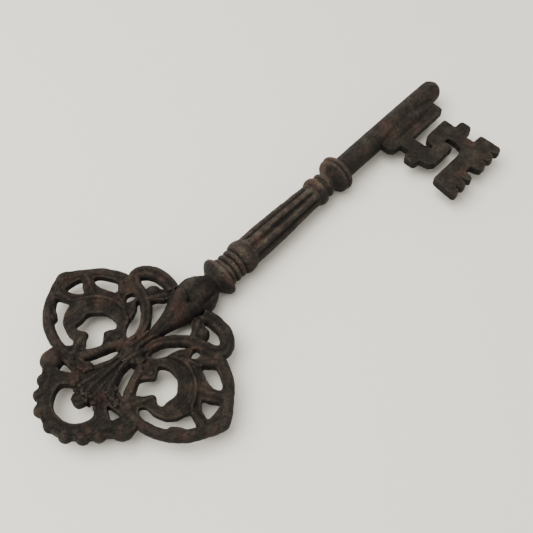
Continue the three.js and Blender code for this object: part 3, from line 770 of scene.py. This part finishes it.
shank_piece("bow_collar", [(0, 4.8), (1.2, 6), (3.2, 8.4), (4.4, 9.3), (5.6, 9.0), (6.2, 7.4), (6.6, 6.4)])
for ring in range(3):
    ring_profile = [(-0.3, 4.6), (0.4, 6.3), (1.6, 7.0), (2.8, 6.3), (3.4, 4.6)]
    shank_piece(f"neck_ring_{ring + 1}", ring_profile)
shank_piece("shank_cap", [(-0.3, 5.4), (0.6, 7.2), (2.6, 7.9), (4.8, 7.7), (6.9, 7.0)])
shank_piece("fluted_shank", [(-0.2, 7.1), (10, 7.2), (22, 6.9), (33, 6.4), (43.9, 5.9)], ribs=flutes)
shank_piece("shank_foot", [(-0.3, 5.2), (0.8, 6.5), (2.6, 7.1), (4.4, 6.7), (5.4, 5.3), (6.8, 5.0)])
shank_piece("foot_bead", [(-0.2, 4.7), (0.6, 5.8), (1.6, 6.1), (2.5, 5.7), (3, 4.7)])
spool_profile = [
    (-0.2, 4.8), (2.2, 5.0), (3.4, 6.1), (4.8, 7.9), (6.2, 8.7), (7.1, 8.3), (8, 8.9), (9.2, 9.0),
    (9.9, 8.2), (10.4, 6.6), (11.2, 5.4),
]
shank_piece("spool_collar", spool_profile)

# %% [markdown]
# ## The pin and the bit
#
# The pin is the round end that turns in the lock, and the bit is the flat blade that lifts the levers.
# The bit's slots and teeth were cut or filed, so its outline has straight sides and slightly rounded
# corners. The outline is walked once round, from the pin down the left side, along the teeth and back up
# the right side. A broad low bar along the pin makes the fillet where blade and pin were cast together.

# %% The pin and the bit
pin_profile = [
    (-0.6, 5.5), (20, 5.6), (45, 5.6), (69.6, 5.5), (72.4, 5), (74.3, 3.9), (75.4, 2.4), (75.95, 0.5),
]
cast("cast_pin", ["pin"], [turned(start_of("pin"), pin_profile)], "bit_iron", lumpiness=0.3)

bit_outline = [
    # left side, from the pin down to the lower slot
    (202.8, -2.5), (202.6, -9.4), (204, -11.8), (208.6, -12.4), (208.6, -17.3), (205, -17.4),
    (203.5, -18.6), (203.3, -23.4), (204.4, -24.4), (207.2, -24.6), (208, -29.5), (210.5, -31.3),
    # lower slot, with its branch upwards
    (224.2, -31.5), (224.9, -30.8), (224.7, -26.2), (227.9, -26.4), (227.9, -31), (226.6, -34.8),
    (222, -36.1), (203, -36), (202.2, -37),
    # toothed block
    (201.2, -43.5), (200.6, -48.4), (201.4, -49.6), (204.2, -49.6), (205.2, -48.4), (205.8, -45.6),
    (206.5, -48.4), (207.4, -49.6), (209.8, -49.6), (210.9, -48), (211.6, -44.8), (212.4, -48),
    (213.4, -49.6), (214.8, -49.6), (216, -47.8), (216.4, -44.6), (220.4, -44.6), (221, -48.2),
    (222.2, -49.6), (226, -49.6), (227.3, -48.2), (228, -45.8), (228.7, -48.2), (229.8, -49.6),
    (232.2, -49.6), (233.5, -48.2), (234.2, -45.8), (234.9, -48.2), (236, -49.6), (238.4, -49.6),
    (239.6, -48), (240, -38), (239, -37.1), (234.3, -36.9),
    # right side, up to the upper slot
    (234.2, -31.6), (240, -31.4), (241.2, -30.2), (241.4, -25.6), (240.4, -24.7), (236.1, -24.5),
    (236.5, -18.6), (235.6, -17.9),
    # upper slot, with its hooked end
    (222.6, -17.8), (220.4, -18.8), (219.2, -20.8), (218.6, -24.2), (216.6, -24.4), (216.2, -13.4),
    (240.6, -13.5), (241.7, -12.4), (242, -2.5),
]
blade_back, blade_face = node_box("bit")[:, 2]
bit_shapes = [
    plate(bit_outline, [], blade_face - blade_back, smooth=False),
    stroke([(204, -4.3), (222, -4.3), (241, -4.3)], 10, [5, 8.6, 8.8, 8.8, 8.8, 8.6, 5]),
]
cast("cast_bit", ["bit"], bit_shapes, "bit_iron", voxel=0.25, soften=2, lumpiness=0.3)

# %% [markdown]
# ## The table, the light and the camera
#
# The key is shown on a plain pale table. The real light was a large soft one almost overhead, a little
# beyond the bow, because each bar has a broad pale top and a faint shade on the side near the viewer. A
# wide area lamp gives that, and a pale room fills in the rest, which also darkens the table a little
# inside the bow's openings. A small hard lamp would draw shadows that the picture doesn't have. The
# camera's place was worked out from where the key's ends, its lobes and the bit's corners lie in the
# picture.

# %% The table and the room
scene = bpy.context.scene
table_mesh = bpy.data.meshes.new("table")
edge = 1.6
table_corners = [(-edge, -edge, 0), (edge, -edge, 0), (edge, edge, 0), (-edge, edge, 0)]
table_mesh.from_pydata(table_corners, [], [(0, 1, 2, 3)])
table = bpy.data.objects.new("table", table_mesh)
scene.collection.objects.link(table)
paper = bpy.data.materials.new("paper")
paper.use_nodes = True
paper_shader = paper.node_tree.nodes["Principled BSDF"]
paper_shader.inputs["Base Color"].default_value = (0.80, 0.772, 0.69, 1)
paper_shader.inputs["Roughness"].default_value = 0.9
paper_shader.inputs["Specular IOR Level"].default_value = 0.2
table_mesh.materials.append(paper)

world = bpy.data.worlds.new("room")
world.use_nodes = True
room = world.node_tree.nodes["Background"]
room.inputs["Color"].default_value = (1.0, 0.98, 0.95, 1)
room_strength = 0.85
room.inputs["Strength"].default_value = room_strength
scene.world = world
print("table", 2 * edge, "m wide, room light", room_strength)


# %% The lamp and the camera
def looking(place, ahead, sideways):
    """A matrix at a place: its columns are sideways, sideways turned a quarter, and back along the look."""
    back = -np.asarray(ahead) / np.linalg.norm(ahead)
    right = sideways / np.linalg.norm(sideways)
    turn = np.eye(4)
    turn[:3, 0], turn[:3, 1], turn[:3, 2], turn[:3, 3] = right, np.cross(back, right), back, place
    return Matrix(turn.tolist())


def area_light(name, place, aim, size, power, color):
    """A square lamp at a place that shines at its aim."""
    lamp = bpy.data.lights.new(name, "AREA")
    lamp.size = size
    lamp.energy = power
    lamp.color = color
    lamp_object = bpy.data.objects.new(name, lamp)
    towards = np.subtract(aim, place)
    lamp_object.matrix_world = looking(place, towards, np.cross(towards, (0, 0, 1)))
    scene.collection.objects.link(lamp_object)
    print(name, power, "W from", place)


lamp_place = (-0.3, 0.22, 0.88)
area_light("ceiling", lamp_place, aim=(0, 0, 0), size=0.9, power=17.5, color=(1.0, 0.98, 0.95))

sensor_width = 36
picture_width_px, focal_length_px = 533, 796
camera_place = np.array([-23.95, -141.3, 293.3])
camera_degrees = [46.77, 32.9, 0.36]
camera = bpy.data.cameras.new("camera")
camera.sensor_width = sensor_width
camera.lens = sensor_width * focal_length_px / picture_width_px
camera_object = bpy.data.objects.new("camera", camera)
bearing, tilt, roll = np.radians(camera_degrees)
level = np.array([np.cos(bearing), -np.sin(bearing), 0])
ahead = np.array([np.sin(bearing) * np.sin(tilt), np.cos(bearing) * np.sin(tilt), -np.cos(tilt)])
sideways = level * np.cos(roll) + np.cross(ahead, level) * np.sin(roll)
camera_object.matrix_world = looking((camera_place + to_frame) * MM, ahead, sideways)
scene.collection.objects.link(camera_object)
scene.camera = camera_object
print("camera", round(camera.lens, 1), "mm lens, at", camera_place, "mm along the key")
